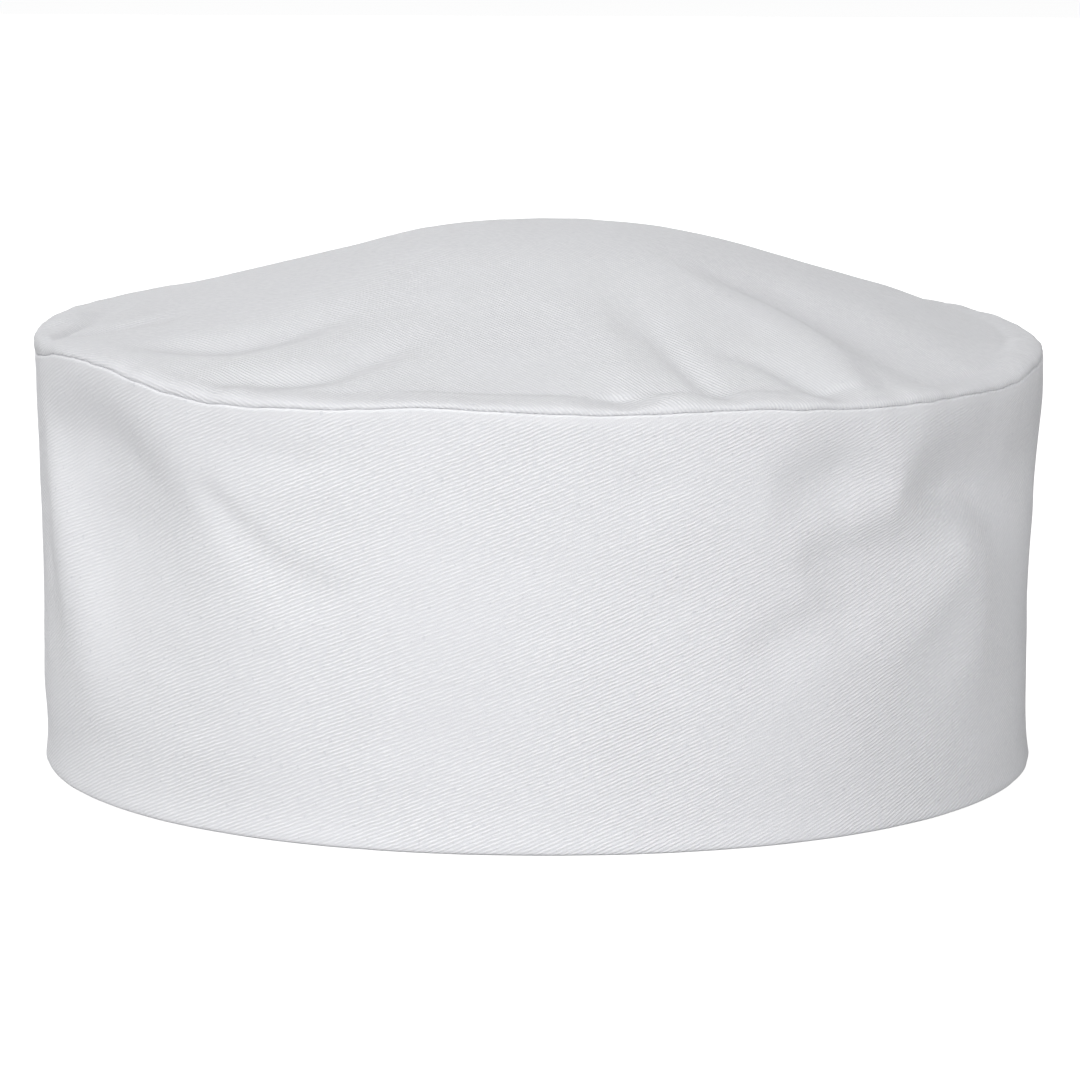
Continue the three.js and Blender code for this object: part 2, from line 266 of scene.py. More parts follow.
def curve_round(column, azimuth):
    """A column of the seam's table as a curve that meets itself again after a full turn."""
    places = SEAM_ROUND["azimuth"]
    values = SEAM_ROUND[column]
    places = np.concatenate([places[-2:] - 360, places, places[:2] + 360])
    values = np.concatenate([values[-2:], values, values[:2]])
    return curve_through(places, values, (azimuth + 180) % 360 - 180)


def curve_of_sides(rows, key, at, azimuth):
    """A table with a column for each side of the cap, blended between the sides."""
    across = np.cos(np.radians(azimuth))
    along = np.sin(np.radians(azimuth))
    left, front, right, back = [
        curve_through(rows[key], rows[side], at) for side in ("left", "front", "right", "back")
    ]
    return np.where(across < 0, left, right) * across**2 + np.where(along < 0, front, back) * along**2


def plan_point(azimuth, half_width, half_depth):
    """A point of the plan, which is an ellipse with slightly fuller corners."""
    angle = np.radians(azimuth)
    across = np.sign(np.cos(angle)) * np.abs(np.cos(angle)) ** (2 / PLAN_POWER)
    along = np.sign(np.sin(angle)) * np.abs(np.sin(angle)) ** (2 / PLAN_POWER)
    return half_width * across, half_depth * along


FOLD_STEPS = 20
NEVER_ZERO = 1e-9


def fold_height(x, y, line_x, line_y, fold, scale):
    """A soft ridge or valley along a smooth line, which fades to its ends and to either hand."""
    places = np.concatenate([[0], np.cumsum(np.hypot(np.diff(line_x), np.diff(line_y)))])
    at = np.linspace(0, places[-1], FOLD_STEPS + 1)
    line_x = curve_through(places, line_x, at)
    line_y = curve_through(places, line_y, at)
    columns = ("left", "right", "depth")
    left, right, depth = [np.interp(at, places, fold[column] * scale) for column in columns]
    nearest = np.full(np.broadcast(x, y).shape, np.inf)
    height = np.zeros_like(nearest)
    for i in range(FOLD_STEPS):
        along_x = line_x[i + 1] - line_x[i]
        along_y = line_y[i + 1] - line_y[i]
        length = math.hypot(along_x, along_y)
        share = np.clip(((x - line_x[i]) * along_x + (y - line_y[i]) * along_y) / length**2, 0, 1)
        off_x = x - line_x[i] - share * along_x
        off_y = y - line_y[i] - share * along_y
        away = np.hypot(off_x, off_y)
        to_left = 0.5 + 0.5 * (along_x * off_y - along_y * off_x) / (length * away + NEVER_ZERO)
        left_reach = left[i] + share * (left[i + 1] - left[i])
        right_reach = right[i] + share * (right[i + 1] - right[i])
        reach = right_reach + to_left * (left_reach - right_reach)
        here = (depth[i] + share * (depth[i + 1] - depth[i])) * np.exp(-((away / reach) ** 2))
        height = np.where(away < nearest, here, height)
        nearest = np.minimum(away, nearest)
    return height


# Fine random unevenness, each kind with its height, the size of its waves and its seed.
SEAM_WAVER = (0.00010, 0.006, 11)
FACE_BULGES = (0.00016, 0.032, 21)
FACE_RIPPLES = (0.00004, 0.009, 22)
SEAM_PUCKERS = (0.00012, 0.007, 23)
PUCKER_FADE = 0.006
WAVE_COUNT = 28
FINEST_WAVE = 1.3
COARSEST_WAVE = 0.6
FULL_TURN = 6.28


def unevenness(x, y, z, height, size, seed):
    """Soft random unevenness in a piece of cloth, mostly from minus that height to plus that height."""
    draw = np.random.default_rng(seed)
    total = 0
    for _ in range(WAVE_COUNT):
        direction = draw.normal(size=3)
        fineness = draw.uniform(COARSEST_WAVE, FINEST_WAVE)
        direction *= 2 * math.pi / size * fineness / np.linalg.norm(direction)
        start = draw.uniform(0, FULL_TURN)
        total = total + np.cos(x * direction[0] + y * direction[1] + z * direction[2] + start)
    return height * (total / math.sqrt(WAVE_COUNT))


def seam_height(azimuth):
    """The height of the seam between band and crown."""
    x, y = plan_point(azimuth, HALF_WIDTH, HALF_DEPTH)
    return BAND_HEIGHT * curve_round("height", azimuth) + unevenness(x, y, 0 * x, *SEAM_WAVER)


def band_out(azimuth, height):
    """How far the band's face stands out of the hem's outline at a height."""
    top = seam_height(azimuth)
    up = np.clip(height / top, 0, 1)
    out = BAND_HEIGHT * curve_of_sides(BAND_LEAN, "up", up, azimuth)
    for fold in BAND_FOLDS.values():
        turns = np.round((fold["azimuth"].mean() - azimuth) / 360)
        around = (azimuth + 360 * turns) * PER_DEGREE
        line = (fold["azimuth"] * PER_DEGREE, fold["up"] * BAND_HEIGHT)
        out = out + fold_height(around, height, *line, fold, BAND_HEIGHT)
    x, y = plan_point(azimuth, HALF_WIDTH, HALF_DEPTH)
    out = out + unevenness(x, y, height, *FACE_BULGES) * np.sin(math.pi * up) ** 0.5
    out = out + unevenness(x, y, height, *FACE_RIPPLES)
    near_seam = np.exp(-np.maximum(top - height, 0) / PUCKER_FADE)
    return out + near_seam * unevenness(x, y, 0 * height, *SEAM_PUCKERS)


def band_point(azimuth, inward, height):
    """A point of a piece that follows the band's face, set in from it."""
    out = band_out(azimuth, height) - inward
    x, y = plan_point(azimuth, HALF_WIDTH + out, HALF_DEPTH + out)
    return np.stack([x, y, height + 0 * x], axis=-1)


def pressed_turn(angle):
    """A turn of pressed cloth, squarer than a half circle: its reach across and up at an angle."""
    across = np.cos(angle)
    up = np.sin(angle)
    reach = (np.abs(across) ** ROLL_POWER + np.abs(up) ** ROLL_POWER) ** (-1 / ROLL_POWER)
    return across * reach, up * reach


def hanging_spread(drop):
    """How far the hanging edges lean in from the wall at a drop below the seam."""
    return ALLOWANCE_SPREAD * (drop / SEAM_ALLOWANCE) ** 2


def band_strip_rows(top):
    """The strip's right side, from its outer raw edge over the roll, down the face, round the hem and up."""
    middle = top - ROLL_RADIUS
    hanging = np.linspace(SEAM_ALLOWANCE, ROLL_RADIUS, HANGING_ROWS, endpoint=False)
    down = np.linspace(1, 0, FACE_ROWS + 2)[1:-1]
    up = np.linspace(0, 1, LINING_ROWS + 2)[1:-1]
    roll_across, roll_up = pressed_turn(np.linspace(math.pi, 0, ROLL_ROWS))
    inner_roll = np.linspace(0, math.pi, INNER_ROLL_ROWS)
    hem = np.linspace(0, math.pi, HEM_ROWS)
    hem_radius = BAND_WALL / 2
    lining = hem_radius + up * (middle - hem_radius)
    lining_in = BAND_WALL - (BAND_WALL - SEAM_WALL) * np.exp(-(((middle - lining) / PRESSED_DEPTH) ** 2))
    inner_radius = ROLL_RADIUS - SEAM_WALL
    parts = [
        (ROLL_WIDTH + hanging_spread(hanging), top - hanging),
        (ROLL_RADIUS - ROLL_RADIUS * roll_across, middle + ROLL_RADIUS * roll_up),
        (0 * down, hem_radius + down * (middle - hem_radius)),
        (hem_radius * (1 - np.cos(hem)), hem_radius * (1 - np.sin(hem))),
        (lining_in, lining),
        (ROLL_RADIUS - inner_radius * np.cos(inner_roll), middle + inner_radius * np.sin(inner_roll)),
        (ROLL_WIDTH - SEAM_WALL + hanging_spread(hanging[::-1]), top - hanging[::-1]),
    ]
    inward = [part[0] + 0 * top for part in parts]
    height = [part[1] + 0 * top for part in parts]
    return np.concatenate(inward, axis=1), np.concatenate(height, axis=1)


def lengths_along(points):
    """How far each point lies along a line of points."""
    steps = np.linalg.norm(np.diff(points, axis=0), axis=1)
    return np.concatenate([[0], np.cumsum(steps)])


SHARP_EDGE = 60.0


def cloth_mesh(name, points, weave, pressed, closing_point=None):
    """Cloth with one ply's thickness, from a ring of sections of its right side. weave is each point's place
    on its flat cut, and pressed, from 0 to 1, is how flat its ribs lie where it has been pressed and where
    their relief and painted shade fade for the light."""
    columns, rows = points.shape[:2]
    vertices = points.reshape(-1, 3)
    pressed = (pressed + np.zeros((columns, rows))).ravel()
    column, row = np.meshgrid(np.arange(columns), np.arange(rows - 1), indexing="ij")
    ahead = (column + 1) % columns
    corners = [(column, row), (column, row + 1), (ahead, row + 1), (ahead, row)]
    faces = np.stack([c * rows + r for c, r in corners], axis=-1).reshape(-1, 4).tolist()
    cut_corners = [(column, row), (column, row + 1), (column + 1, row + 1), (column + 1, row)]
    uvs = np.stack([weave[c, r] for c, r in cut_corners], axis=-2).reshape(-1, 2)
    if closing_point is not None:
        pole = len(vertices)
        vertices = np.vstack([vertices, closing_point])
        pressed = np.append(pressed, 0)
        around = np.arange(columns)
        faces += [[pole, c * rows, (c + 1) % columns * rows] for c in around.tolist()]
        centre = np.zeros((columns, 2))
        wedges = np.stack([centre, weave[around, 0], weave[around + 1, 0]], axis=1)
        uvs = np.vstack([uvs, wedges.reshape(-1, 2)])
    mesh = bpy.data.meshes.new(name)
    mesh.from_pydata(vertices.tolist(), [], faces)
    mesh.uv_layers.new(name="weave").data.foreach_set("uv", uvs.astype(np.float32).ravel())
    mesh.attributes.new("pressed", "FLOAT", "POINT").data.foreach_set("value", pressed.astype(np.float32))
    mesh.shade_smooth()
    piece = bpy.data.objects.new(name, mesh)
    bpy.context.scene.collection.objects.link(piece)
    thickness = piece.modifiers.new("ply", "SOLIDIFY")
    thickness.thickness = PLY
    thickness.offset = -1
    bpy.context.view_layer.update()
    solid = bpy.data.meshes.new_from_object(piece.evaluated_get(bpy.context.evaluated_depsgraph_get()))
    piece.modifiers.clear()
    piece.data = solid
    solid.set_sharp_from_angle(angle=math.radians(SHARP_EDGE))
    return piece


class Socket:
    """A socket in a tree of nodes. Sums of it with numbers and other sockets add their Math nodes."""

    def __init__(self, socket):
        self.socket = socket

    def node(self, kind, settings, inputs, output=0):
        """Adds a node of that kind, with its settings first and then its inputs, and gives one output."""
        tree = self.socket.id_data
        made = tree.nodes.new(kind)
        for key, value in settings.items():
            setattr(made, key, value)
        for key, value in inputs.items():
            if isinstance(value, Socket):
                tree.links.new(value.socket, made.inputs[key])
            else:
                made.inputs[key].default_value = value
        return Socket(made.outputs[output])

    def math(self, operation, *others):
        """This value first and then the others, through one Math node."""
        return self.node("ShaderNodeMath", {"operation": operation}, dict(enumerate((self, *others))))

    def __add__(self, other):
        return self.math("ADD", other)

    def __sub__(self, other):
        return self.math("SUBTRACT", other)

    def __mul__(self, other):
        return self.math("MULTIPLY", other)

    def __truediv__(self, other):
        return self.math("DIVIDE", other)

    def __rsub__(self, other):
        return self.math("MULTIPLY", -1) + other


# The two colours that a Mix node takes, and the colour that it gives, by their places among its sockets.
MIX_FIRST = 6
MIX_SECOND = 7
MIX_COLOUR = 2

# The twill. Ribs lie a spacing apart, and drift and wander by shares of it. Each is a rope of slubs.
RIB_SPACING = 0.00065
RIB_SIDEWAYS = 0.35
RIB_DRIFT_SIZE = 0.014
RIB_WANDER = 0.16
RIB_WANDER_SIZE = 0.0024
SLUB_LENGTH = 0.0018
FIBRE_SIZE = 0.00022
CLOUD_SIZE = 0.03
SPECK_SIZE = 0.0011
SPECK_LEVEL = 0.84
SLUB_CONTRAST = 2.6

# Pressing, and the fade round the squarely lit left side, take away this share of the ribs' relief and
# painted shade. Elsewhere they show least in the dullest patches of the cloth, and by up to MORE_SHOWING
# more in the liveliest.
PRESSED_FLAT = 0.85
LEAST_SHOWING = 0.2
MORE_SHOWING = 1.6

# What makes the relief, and what sets the colour between crest and valley: painted shade that darkens the
# ribs' valleys and lightens their slubs, and the cloth's real random patches and specks.
SLUB_RELIEF = 0.6
FIBRE_RELIEF = 0.3
SLUB_PAINTED_SHADE = 0.7
RIB_MEAN = 0.4
RIB_PAINTED_SHADE = 0.9
CLOUD_LIGHT = 0.4
SPECK_LIGHT = 0.6
ROUGHNESS = 0.86
ROUGHNESS_CHANGE = 0.1
CLOTH_SURFACE = {
    "Subsurface Weight": 0.35,
    "Subsurface Radius": (1, 1, 1),
    "Subsurface Scale": PLY,
    "Sheen Weight": 0.06,
    "Sheen Roughness": 0.5,
    "Specular IOR Level": 0.25,
}
BAND_RIB_ANGLE = 23.0
BAND_RIB_HEIGHT = 0.00011
# The band's twill colour on the rib crests, and its valley colour, which is painted shade.
BAND_WHITE = (0.868, 0.869, 0.886, 1)
BAND_VALLEY_PAINTED_SHADE = (0.730, 0.733, 0.760, 1)


def twill(name, rib_angle, rib_height, crest, valley):
    """White cotton twill: straight slanting ribs with rope-like slubs, fine fibres and a few specks. Its
    colour has painted shade: the valley colour down in the ribs' valleys, and lighter on the slubs.
    """
    material = bpy.data.materials.new(name)
    material.use_nodes = True
    surface = material.node_tree.nodes["Principled BSDF"]
    place = Socket(material.node_tree.nodes.new("ShaderNodeUVMap").outputs[0])
    place.socket.node.uv_map = "weave"
    u = place.node("ShaderNodeSeparateXYZ", {}, {0: place}, "X")
    v = place.node("ShaderNodeSeparateXYZ", {}, {0: place}, "Y")
    pressed = place.node("ShaderNodeAttribute", {"attribute_name": "pressed"}, {}, "Fac")

    def noise(vector, size, detail):
        settings = {"noise_dimensions": "2D"}
        inputs = {"Vector": vector, "Scale": 1 / size, "Detail": detail}
        return place.node("ShaderNodeTexNoise", settings, inputs)

    rise = math.sin(math.radians(rib_angle))
    run = math.cos(math.radians(rib_angle))
    drift = (noise(place, RIB_DRIFT_SIZE, 1.0) - 0.5) * (RIB_SIDEWAYS * 2)
    wander = (noise(place, RIB_WANDER_SIZE, 1.0) - 0.5) * (RIB_WANDER * 2)
    rib = (v * run - u * rise) / RIB_SPACING + drift + wander
    along = (u * run + v * rise) / SLUB_LENGTH
    ridge = (rib * (2 * math.pi)).math("SINE") * 0.5 + 0.5
    slub = noise(place.node("ShaderNodeCombineXYZ", {}, {"X": along, "Y": rib}), 1.0, 1.0)
    rope = ((slub - 0.5) * SLUB_CONTRAST + 0.5).math("MAXIMUM", 0.0).math("MINIMUM", 1.0)
    fibre = noise(place, FIBRE_SIZE, 1.0)
    cloud = noise(place, CLOUD_SIZE, 1.0)
    # pressed also carries the fade of the ribs' painted shade and relief round the squarely lit side.
    showing = (1 - pressed * PRESSED_FLAT) * (cloud * MORE_SHOWING + LEAST_SHOWING)
    relief = ridge * (rope * SLUB_RELIEF + (1 - SLUB_RELIEF)) * showing + fibre * FIBRE_RELIEF
    speck = noise(place, SPECK_SIZE, 0.0).math("GREATER_THAN", SPECK_LEVEL)
    # Painted shade: the colour goes to the valley colour down in each rib and lighter along its slubs. The
    # random patches and the specks are the cloth's own.
    light = (ridge * (rope * SLUB_PAINTED_SHADE + (1 - SLUB_PAINTED_SHADE)) - RIB_MEAN) * showing * RIB_PAINTED_SHADE + 0.5
    light = light + (cloud - 0.5) * CLOUD_LIGHT - speck * SPECK_LIGHT
    light = light.math("MAXIMUM", 0.0).math("MINIMUM", 1.0)
    mixed = {0: light, MIX_FIRST: valley, MIX_SECOND: crest}
    colour = place.node("ShaderNodeMix", {"data_type": "RGBA"}, mixed, MIX_COLOUR)
    bump = place.node("ShaderNodeBump", {}, {"Strength": 1.0, "Distance": rib_height, "Height": relief})
    links = material.node_tree.links
    links.new(colour.socket, surface.inputs["Base Color"])
    links.new((cloud * ROUGHNESS_CHANGE + ROUGHNESS).socket, surface.inputs["Roughness"])
    links.new(bump.socket, surface.inputs["Normal"])
    for key, value in CLOTH_SURFACE.items():
        surface.inputs[key].default_value = value
    return material


# The ends of the strip meet at the back in an upright seam, a narrow groove where both plies are drawn in.
BACK_GROOVE = 0.00024
GROOVE_WIDTH = 0.00045
CLOSE_COLUMNS = (0, 0.00015, 0.0003, 0.00045, 0.00065, 0.0009, 0.0012)
beside_seam = np.array(CLOSE_COLUMNS) / PER_DEGREE
azimuths = np.linspace(0, 360, BAND_COLUMNS, endpoint=False)
azimuths = BACK_SEAM + np.unique(np.concatenate([azimuths, beside_seam, 360 - beside_seam[1:]]))[:, None]

inward, height = band_strip_rows(seam_height(azimuths))
off_seam = ((azimuths - BACK_SEAM + 180) % 360 - 180) * PER_DEGREE
groove = BACK_GROOVE * np.exp(-((off_seam / GROOVE_WIDTH) ** 2))
towards_middle = np.clip(1 - 2 * inward / BAND_WALL, -1, 1)
band_points = band_point(azimuths, inward + groove * towards_middle, height)

# The weave's place on the flat strip: along it from the back seam, and across it from the hem.
first_face_row = HANGING_ROWS + ROLL_ROWS
face_row = first_face_row + FACE_ROWS // 2
hem_row = first_face_row + FACE_ROWS + HEM_ROWS // 2
along_strip = lengths_along(np.vstack([band_points[:, face_row], band_points[:1, face_row]]))
down_section = np.array([lengths_along(section) for section in band_points])
across_strip = down_section[:, hem_row : hem_row + 1] - down_section
across_strip = np.vstack([across_strip, across_strip[:1]])
band_weave = np.stack([along_strip[:, None] + 0 * across_strip, across_strip], axis=-1)

# Just under the seam the ribs are pressed flat into a smooth strip. Round the left side their relief and
# their painted shade fade, as light falls square on the cloth there.
SMOOTH_STRIP_AT = 0.0011
SMOOTH_STRIP_WIDTH = 0.0008
SMOOTH_SIDE = -155.0
SMOOTH_SIDE_WIDTH = 45.0
SMOOTH_SIDE_SHARE = 0.6
below_seam = seam_height(azimuths) - height
from_smooth_side = (azimuths - SMOOTH_SIDE + 180) % 360 - 180
smooth_side = SMOOTH_SIDE_SHARE * np.exp(-((from_smooth_side / SMOOTH_SIDE_WIDTH) ** 2))
band_pressed = np.exp(-(((below_seam - SMOOTH_STRIP_AT) / SMOOTH_STRIP_WIDTH) ** 2))
band_pressed = np.maximum(band_pressed, smooth_side)

band_strip = cloth_mesh("band_strip", band_points, band_weave, band_pressed)
band_twill = twill("band_twill", BAND_RIB_ANGLE, BAND_RIB_HEIGHT, BAND_WHITE, BAND_VALLEY_PAINTED_SHADE)
band_strip.data.materials.append(band_twill)

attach(band_strip, "root")
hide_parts("side_band")

# Crown panel. The real piece is one round layer of the same twill, cut a little larger than the head and
# eased into the band. Its edge turns down inside the band's raw edges. Its middle tents up over the head.
CROWN_RISE = 0.0227
APEX_OFFSET = 0.0025
RIM_PUFF = 0.0042
RIM_REACH = 0.0035
SEAM_GAP = 0.00002
LIP_RADIUS = 0.00042
RIM_FOLLOW = 12
CROWN_COLUMNS = 460
CROWN_ROWS = 52
RIM_FROM = 0.88
RIM_ROWS = 15
LIP_ROWS = 22
HANGING_EDGE_ROWS = 5
CROWN_RIB_ANGLE = -45.0
CROWN_RIB_HEIGHT = 0.00008
# The crown is the band's twill, but its colours are painted darker than the band's, as shade for the weaker
# light that falls on it. Its valley colour is also the ribs' painted shade.
CROWN_WHITE_PAINTED_DARKER = (0.765, 0.766, 0.782, 1)
CROWN_VALLEY_PAINTED_SHADE = (0.650, 0.653, 0.677, 1)

# The crown's height from the apex, out = 0, to near the rim, out = 1, as shares of its rise.
CROWN_SECTIONS = table(
    "out left front right back",
    (0.0, 1.0, 1.0, 1.0, 1.0),
    (0.05, 1.0, 0.999, 0.998, 0.999),
    (0.15, 0.985, 0.978, 0.973, 0.98),
    (0.3, 0.89, 0.88, 0.873, 0.88),
    (0.45, 0.705, 0.705, 0.712, 0.71),
    (0.6, 0.53, 0.505, 0.515, 0.522),
    (0.74, 0.373, 0.325, 0.328, 0.353),
    (0.86, 0.262, 0.175, 0.155, 0.215),
    (0.92, 0.22, 0.1, 0.085, 0.145),
)

# The rim from its shoulder down to the band's roll, where it is fully puffed and where it is flat. Inward
# places and flat heights are shares of the rim's reach, and puffed heights are shares of the puff. The last
# column is how much of the folds it takes.
RIM_SECTION = table(
    "puffed_inward puffed_up flat_inward flat_up fold",
    (0.75, 1.0, 1.85, 0.53, 1.0),
    (0.32, 0.93, 1.2, 0.43, 0.7),
    (0.06, 0.73, 0.7, 0.36, 0.45),
    (-0.04, 0.47, 0.33, 0.28, 0.25),
    (-0.02, 0.24, 0.14, 0.19, 0.1),
    (0.02, 0.1, 0.08, 0.11, 0.0),
)

# The lip comes next and turns in over the band's roll. Its places are shares of its radius, inward and up,
# and then angles round the roll.
LIP_SECTION = ((0.06, 0.45), (0.3, 0.05), (1.0, 0.0))
LIP_TURN = (math.pi / 2, math.pi / 4)

# The shoulder lies at these shares of the way out from the apex.
SHOULDER = (RIM_FROM, RIM_FROM + 0.02, RIM_FROM + 0.04)

# The first and the last place of the stretch with the closest rows, counted from the first shoulder place.
LIP_FROM = 5
LIP_TO = 13

# Soft folds on the crown, in the same way. All but azimuth are shares of half the hem's width, and up is
# positive.
CROWN_FOLD = "azimuth out left right depth"
CROWN_FOLDS = {
    "right ridge": table(
        CROWN_FOLD,
        (-55, 0.3, 0.05, 0.09, 0),
        (-49, 0.45, 0.05, 0.09, 0.006),
        (-44, 0.57, 0.045, 0.09, 0.012),
        (-44, 0.68, 0.04, 0.09, 0.014),
        (-47, 0.81, 0.04, 0.085, 0.014),
        (-50.5, 0.92, 0.04, 0.075, 0.012),
        (-53, 1.0, 0.04, 0.06, 0.008),
    ),
    "right flank": table(
        CROWN_FOLD,
        (-35, 0.38, 0.12, 0.1, 0),
        (-36, 0.52, 0.14, 0.1, -0.018),
        (-36, 0.72, 0.14, 0.1, -0.026),
        (-37, 0.92, 0.12, 0.09, -0.016),
        (-38, 1, 0.1, 0.08, -0.005),
    ),
    "front valley": table(
        CROWN_FOLD,
        (-60, 0.22, 0.08, 0.08, 0),
        (-70, 0.35, 0.06, 0.07, -0.002),
        (-72, 0.48, 0.045, 0.06, -0.0035),
        (-71.5, 0.6, 0.035, 0.045, -0.0055),
        (-72, 0.74, 0.03, 0.03, -0.008),
        (-71.6, 0.85, 0.03, 0.022, -0.01),
        (-70.8, 0.94, 0.03, 0.02, -0.009),
        (-70, 1, 0.025, 0.02, -0.003),
    ),
    "right valley": table(
        CROWN_FOLD,
        (-67, 0.74, 0.05, 0.035, 0),
        (-62, 0.79, 0.05, 0.03, -0.006),
        (-59.5, 0.85, 0.05, 0.025, -0.009),
        (-58.5, 0.92, 0.045, 0.022, -0.009),
        (-57, 0.985, 0.04, 0.02, -0.007),
        (-55, 1.01, 0.03, 0.02, -0.003),
    ),
    "front swell": table(
        CROWN_FOLD,
        (-83, 0.45, 0.06, 0.07, 0),
        (-80.5, 0.68, 0.05, 0.07, 0.007),
        (-79, 0.85, 0.045, 0.06, 0.007),
        (-78.5, 0.95, 0.04, 0.05, 0),
    ),
    "corner petal": table(
        CROWN_FOLD,
        (-174, 1, 0.02, 0.03, 0.004),
        (-176, 0.97, 0.022, 0.035, 0.012),
        (-178.5, 0.94, 0.025, 0.035, 0.013),
        (-182, 0.91, 0.025, 0.03, 0),
    ),
    "corner pinch": table(
        CROWN_FOLD,
        (-163, 0.995, 0.016, 0.016, -0.004),
        (-165.5, 0.975, 0.018, 0.018, -0.011),
        (-168.6, 0.948, 0.02, 0.02, -0.014),
        (-171, 0.925, 0.02, 0.022, -0.014),
        (-173.6, 0.903, 0.02, 0.024, -0.012),
        (-177.2, 0.884, 0.02, 0.025, -0.008),
        (-181.4, 0.874, 0.02, 0.025, 0),
    ),
    "long left valley": table(
        CROWN_FOLD,
        (-160.8, 0.975, 0.02, 0.02, -0.003),
        (-162, 0.948, 0.022, 0.025, -0.008),
        (-163.2, 0.915, 0.025, 0.03, -0.01),
        (-164.2, 0.87, 0.03, 0.035, -0.01),
        (-163.4, 0.83, 0.035, 0.04, -0.009),
        (-162.2, 0.77, 0.045, 0.05, -0.007),
        (-163, 0.68, 0.06, 0.06, 0),
    ),
    "upper left valley": table(
        CROWN_FOLD,
        (-127, 0.56, 0.05, 0.07, 0),
        (-129, 0.64, 0.05, 0.07, -0.009),
        (-131.5, 0.72, 0.045, 0.07, -0.015),
        (-134.5, 0.79, 0.04, 0.06, -0.018),
        (-139, 0.835, 0.035, 0.055, -0.018),
        (-144, 0.875, 0.03, 0.05, -0.012),
        (-149, 0.91, 0.03, 0.045, 0),
    ),
    "lower left valley": table(
        CROWN_FOLD,
        (-107, 0.64, 0.05, 0.06, 0),
        (-110, 0.72, 0.045, 0.06, -0.008),
        (-113, 0.8, 0.04, 0.055, -0.013),
        (-115, 0.87, 0.032, 0.05, -0.014),
        (-119.3, 0.91, 0.028, 0.045, -0.014),
        (-124.5, 0.928, 0.028, 0.04, -0.01),
        (-130, 0.94, 0.03, 0.04, 0),
    ),
    "left tuck": table(
        CROWN_FOLD,
        (-82.5, 0.9, 0.02, 0.02, 0),
        (-82, 0.95, 0.018, 0.02, -0.004),
        (-81.3, 1.0, 0.015, 0.018, -0.006),
    ),
    "right tuck": table(
        CROWN_FOLD,
        (-77.5, 0.93, 0.02, 0.02, 0),
        (-79, 0.96, 0.018, 0.018, -0.003),
        (-81, 1.0, 0.015, 0.015, -0.004),
    ),
    "swell beside the tucks": table(
        CROWN_FOLD,
        (-79, 0.985, 0.02, 0.02, 0),
        (-75, 0.975, 0.022, 0.022, 0.004),
        (-68, 0.985, 0.02, 0.02, 0),
    ),
    "right wrinkle": table(
        CROWN_FOLD,
        (-15, 0.7, 0.035, 0.022, 0),
        (-13, 0.78, 0.035, 0.022, -0.003),
        (-12, 0.85, 0.03, 0.02, -0.0045),
        (-7, 0.92, 0.03, 0.018, -0.005),
        (0, 0.985, 0.025, 0.015, -0.003),
    ),
    "far right wrinkle": table(
        CROWN_FOLD,
        (-2, 0.77, 0.03, 0.018, 0),
        (0.7, 0.82, 0.03, 0.018, -0.003),
        (3.8, 0.91, 0.03, 0.018, -0.004),
        (8, 0.97, 0.025, 0.015, 0),
    ),
    "right valley at the back": table(
        CROWN_FOLD,
        (49, 0.5, 0.06, 0.06, 0),
        (47, 0.68, 0.06, 0.06, -0.014),
        (45, 0.85, 0.05, 0.06, -0.014),
        (44, 0.98, 0.05, 0.06, -0.008),
    ),
    "left valley at the back": table(
        CROWN_FOLD,
        (127, 0.5, 0.06, 0.06, 0),
        (129, 0.68, 0.06, 0.06, -0.014),
        (132, 0.85, 0.06, 0.05, -0.014),
        (134, 0.98, 0.06, 0.05, -0.008),
    ),
}

# The crown's fine unevenness, with its height, the size of its waves and its seed. Bulges fade to the rim.
CROWN_BULGES = (0.00022, 0.035, 31)
CROWN_RIPPLES = (0.00005, 0.009, 32)
BULGE_FADE = 8


def crown_fold_height(x, y):
    """The height that all the folds together add to a place on the crown."""
    height = 0
    for fold in CROWN_FOLDS.values():
        line = plan_point(fold["azimuth"], fold["out"] * HALF_WIDTH, fold["out"] * HALF_DEPTH)
        height = height + fold_height(x, y, *line, fold, HALF_WIDTH)
    return height


def mix(flat, puffed, puff):
    """A value between the flat rim's and the puffed rim's."""
    return flat + (puffed - flat) * puff


def smooth_line(points, stations, counts):
    """A smooth line through the points, with that many steps between each two stations along it."""
    places = lengths_along(points[:, :3])
    steps = [
        np.linspace(places[start], places[end], count, endpoint=False)
        for start, end, count in zip(stations, stations[1:], counts)
    ]
    at = np.concatenate([*steps, places[-1:]])
    return np.stack([curve_through(places, values, at) for values in points.T], axis=1)


def crown_top(azimuth, out):
    """The crown over the head before its folds, at a share of the way out from apex to rim. A point's
    fourth value is how much of the folds it takes."""
    seam = seam_height(azimuth)
    rim = band_point(azimuth, 0, seam)
    x = rim[..., 0] * out
    y = rim[..., 1] * out
    rise = CROWN_RISE * curve_of_sides(CROWN_SECTIONS, "out", out, azimuth)
    height = BAND_HEIGHT + rise + (seam - BAND_HEIGHT) * out**RIM_FOLLOW
    height = height + unevenness(x, y, 0 * x, *CROWN_BULGES) * out * (1 - out**BULGE_FADE)
    height = height + unevenness(x, y, 0 * x, *CROWN_RIPPLES)
    return np.stack([x + APEX_OFFSET * (1 - out**2), y, height, 1 + 0 * x], axis=-1)


